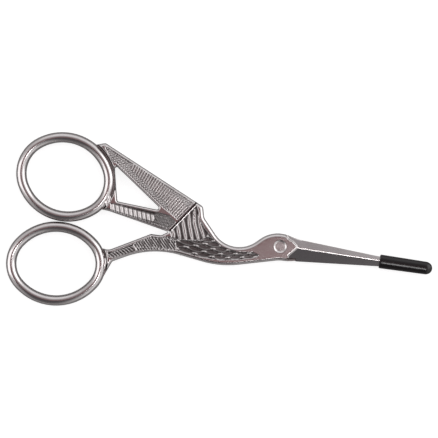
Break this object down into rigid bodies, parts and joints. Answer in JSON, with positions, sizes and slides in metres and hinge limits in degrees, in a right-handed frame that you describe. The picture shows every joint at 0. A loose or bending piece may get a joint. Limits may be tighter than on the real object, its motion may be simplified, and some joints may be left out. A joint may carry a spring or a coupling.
{
  "type": "embroidery scissors",
  "caption": "Small embroidery scissors shaped like a standing stork: long beak blades, carved body and wing, two oval finger rings, a pivot screw and a soft black tip guard.",
  "frame": {"origin": "on the pivot's axis, in the plane of the closed scissors' flat back", "axes": "+X along the closing line of the blades to their tips, +Y up over the bird's back, +Z out of the carved front face towards the viewer"},
  "size_m": [0.1163, 0.0475, 0.0032],
  "materials": {
    "front_steel": "nickel plated, polished, with dark toned relief",
    "back_steel": "nickel plated, polished, with dark toned relief",
    "screw_steel": "turned and polished",
    "guard_vinyl": "glossy soft vinyl"
  },
  "bodies": {
    "back_half": {"back_lever": "back_steel", "pivot_screw": "screw_steel"},
    "front_half": {"front_lever": "front_steel"},
    "guard": {"tip_guard": "guard_vinyl"}
  },
  "joints": [
    {"name": "pivot", "type": "hinge", "parent": "back_half", "child": "front_half", "pos_m": [0, 0, 0.0016], "axis": [0, 0, 1], "range_deg": [0, 35]},
    {"name": "guard_slide", "type": "slide", "parent": "back_half", "child": "guard", "axis": [0.9976, 0.0698, 0], "range_m": [0, 0.18]}
  ],
  "couplings": [
    {"joint": "guard_slide", "follows": "pivot", "m_per_rad": 0.2865}
  ]
}
